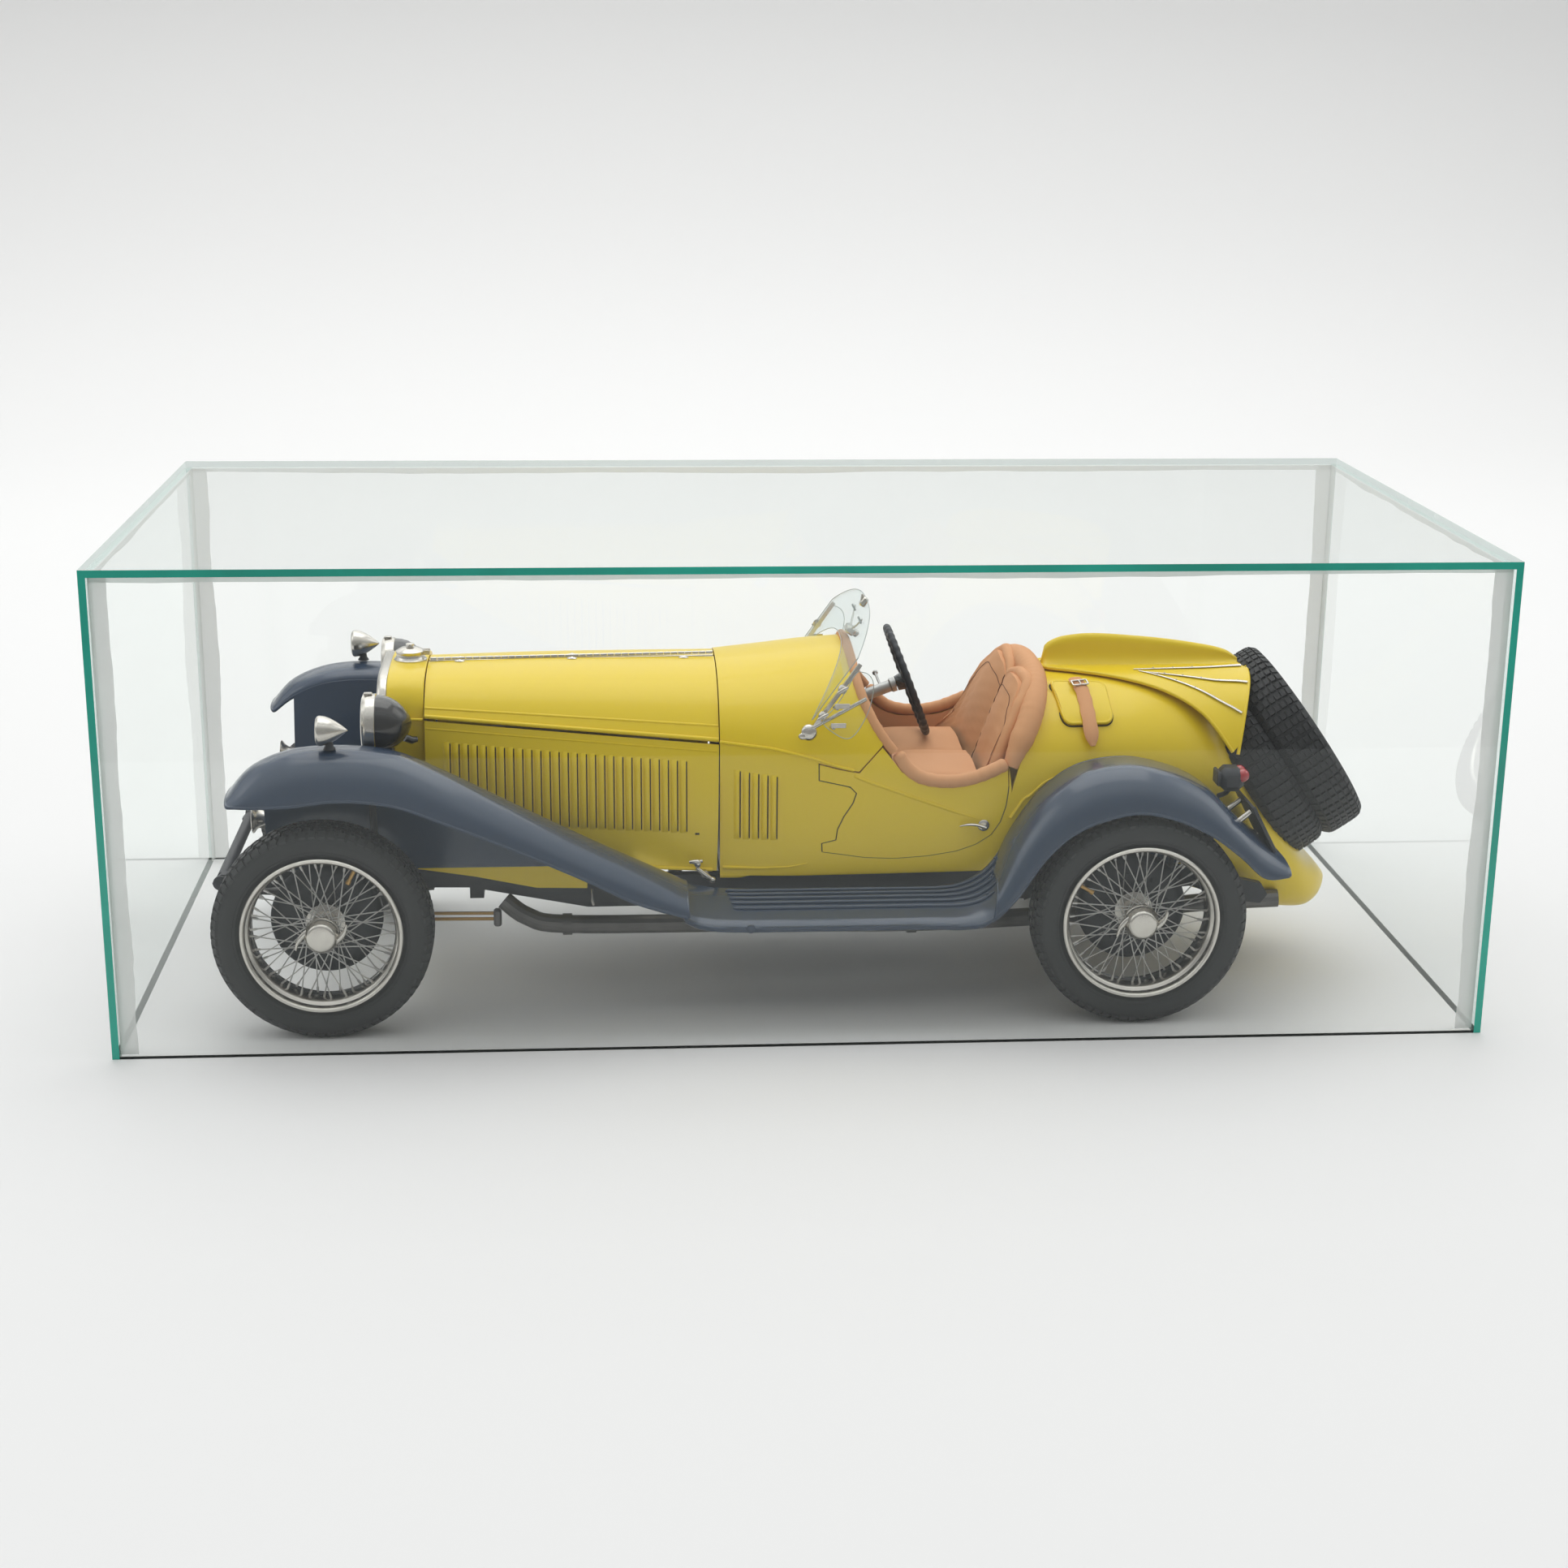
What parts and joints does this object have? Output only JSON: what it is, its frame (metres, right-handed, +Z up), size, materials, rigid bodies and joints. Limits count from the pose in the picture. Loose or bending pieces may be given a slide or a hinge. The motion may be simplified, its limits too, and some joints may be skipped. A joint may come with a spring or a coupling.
{
  "type": "display case with scale model roadster",
  "caption": "Frameless glass display case that lifts off a large-scale wire-wheeled open roadster model with opening bonnet, doors and steering.",
  "frame": {"origin": "centre of the glass case's footprint, on the floor it stands on", "axes": "+X along the case's long side, towards the tail of the car; +Y from the front pane to the back pane; +Z up"},
  "size_m": [0.574, 0.266, 0.204],
  "materials": {
    "clear_glass": "gloss",
    "sealant": "matte",
    "chassis_blue": "satin",
    "black_metal": "satin",
    "engine_metal": "satin",
    "body_yellow": "gloss",
    "nickel": "polished",
    "lamp_glass": "gloss",
    "wing_blue": "satin",
    "tyre": "matte",
    "steel": "satin",
    "dark_plastic": "matte",
    "tan_leather": "matte"
  },
  "bodies": {
    "chassis": {"chassis_frame": "chassis_blue", "leaf_springs": "black_metal", "front_axle": "chassis_blue", "rear_axle": "black_metal", "engine_block": "engine_metal", "exhaust_pipe": "black_metal", "floor_pan": "black_metal", "body_cowl": "body_yellow", "body_sills": "body_yellow", "body_tail": "body_yellow", "tail_deck": "body_yellow", "tail_strips": "nickel", "bonnet_side_left": "body_yellow", "bonnet_side_right": "body_yellow", "radiator_shell": "body_yellow", "radiator_rim": "nickel", "radiator_core": "black_metal", "headlamp_bowls": "black_metal", "headlamp_rims": "nickel", "headlamp_lenses": "lamp_glass", "horns_and_brackets": "nickel", "wing_lamps": "nickel", "wing_front_left": "wing_blue", "wing_front_right": "wing_blue", "wing_rear_left": "wing_blue", "wing_rear_right": "wing_blue", "running_boards": "wing_blue", "spare_tyres": "tyre", "spare_wheels": "nickel", "steering_column": "nickel", "seat_cushion": "tan_leather", "seat_back": "tan_leather", "cockpit_trim": "tan_leather", "tail_lamps": "black_metal"},
    "case_hood": {"case_front_glass": "clear_glass", "case_back_glass": "clear_glass", "case_left_glass": "clear_glass", "case_right_glass": "clear_glass", "case_top_glass": "clear_glass", "case_sealant": "sealant"},
    "knuckle_left": {"knuckle_left": "steel"},
    "knuckle_right": {"knuckle_right": "steel"},
    "wheel_front_left": {"wheel_front_left": "nickel", "tyre_front_left": "tyre"},
    "wheel_front_right": {"wheel_front_right": "nickel", "tyre_front_right": "tyre"},
    "wheel_rear_left": {"wheel_rear_left": "nickel", "tyre_rear_left": "tyre"},
    "wheel_rear_right": {"wheel_rear_right": "nickel", "tyre_rear_right": "tyre"},
    "steering": {"steering_wheel": "dark_plastic"},
    "bonnet_left": {"bonnet_top_left": "body_yellow"},
    "bonnet_right": {"bonnet_top_right": "body_yellow"},
    "door_left": {"door_left": "body_yellow"},
    "door_right": {"door_right": "body_yellow"},
    "windscreen": {"windscreen_frame": "nickel", "windscreen_glass": "lamp_glass"},
    "radiator_cap": {"radiator_cap": "nickel"},
    "locker_lid": {"locker_lid": "body_yellow", "locker_strap": "tan_leather"}
  },
  "joints": [
    {"name": "case_lift", "type": "slide", "parent": "chassis", "child": "case_hood", "axis": [0, 0, 1], "range_m": [0, 0.22]},
    {"name": "kingpin_left", "type": "hinge", "parent": "chassis", "child": "knuckle_left", "pos_m": [-0.202, -0.0825, 0.046], "axis": [0, 0, 1], "range_deg": [-20, 20]},
    {"name": "kingpin_right", "type": "hinge", "parent": "chassis", "child": "knuckle_right", "pos_m": [-0.202, 0.0295, 0.046], "axis": [0, 0, 1], "range_deg": [-20, 20]},
    {"name": "steering_turn", "type": "hinge", "parent": "chassis", "child": "steering", "pos_m": [0.0535, -0.0015, 0.1245], "axis": [0.9348, 0, 0.3551], "range_deg": [-120, 120]},
    {"name": "wheel_spin_front_left", "type": "hinge", "parent": "knuckle_left", "child": "wheel_front_left", "pos_m": [-0.202, -0.1065, 0.046], "axis": [0, 1, 0], "continuous": true},
    {"name": "wheel_spin_front_right", "type": "hinge", "parent": "knuckle_right", "child": "wheel_front_right", "pos_m": [-0.202, 0.0535, 0.046], "axis": [0, 1, 0], "continuous": true},
    {"name": "wheel_spin_rear_left", "type": "hinge", "parent": "chassis", "child": "wheel_rear_left", "pos_m": [0.142, -0.1065, 0.046], "axis": [0, 1, 0], "continuous": true},
    {"name": "wheel_spin_rear_right", "type": "hinge", "parent": "chassis", "child": "wheel_rear_right", "pos_m": [0.142, 0.0535, 0.046], "axis": [0, 1, 0], "continuous": true},
    {"name": "bonnet_left_open", "type": "hinge", "parent": "chassis", "child": "bonnet_left", "pos_m": [-0.098, -0.0265, 0.1429], "axis": [-0.9999, 0, -0.0161], "range_deg": [0, 65]},
    {"name": "bonnet_right_open", "type": "hinge", "parent": "chassis", "child": "bonnet_right", "pos_m": [-0.098, -0.0265, 0.1429], "axis": [0.9999, 0, 0.0161], "range_deg": [0, 65]},
    {"name": "door_left_open", "type": "hinge", "parent": "chassis", "child": "door_left", "pos_m": [0.008, -0.0871, 0.09], "axis": [0, 0, -1], "range_deg": [0, 28]},
    {"name": "door_right_open", "type": "hinge", "parent": "chassis", "child": "door_right", "pos_m": [0.008, 0.0341, 0.09], "axis": [0, 0, 1], "range_deg": [0, 60]},
    {"name": "windscreen_tilt", "type": "hinge", "parent": "chassis", "child": "windscreen", "pos_m": [0.002, -0.0265, 0.124], "axis": [0, -1, 0], "range_deg": [0, 12]},
    {"name": "radiator_cap_open", "type": "hinge", "parent": "chassis", "child": "radiator_cap", "pos_m": [-0.161, -0.0265, 0.1447], "axis": [0, 1, 0], "range_deg": [0, 75]},
    {"name": "locker_lid_open", "type": "hinge", "parent": "chassis", "child": "locker_lid", "pos_m": [0.123, -0.0495, 0.1349], "axis": [-1, 0, 0], "range_deg": [0, 60]}
  ],
  "couplings": [
    {"joint": "kingpin_right", "follows": "kingpin_left", "ratio": 1},
    {"joint": "steering_turn", "follows": "kingpin_left", "ratio": 6}
  ]
}
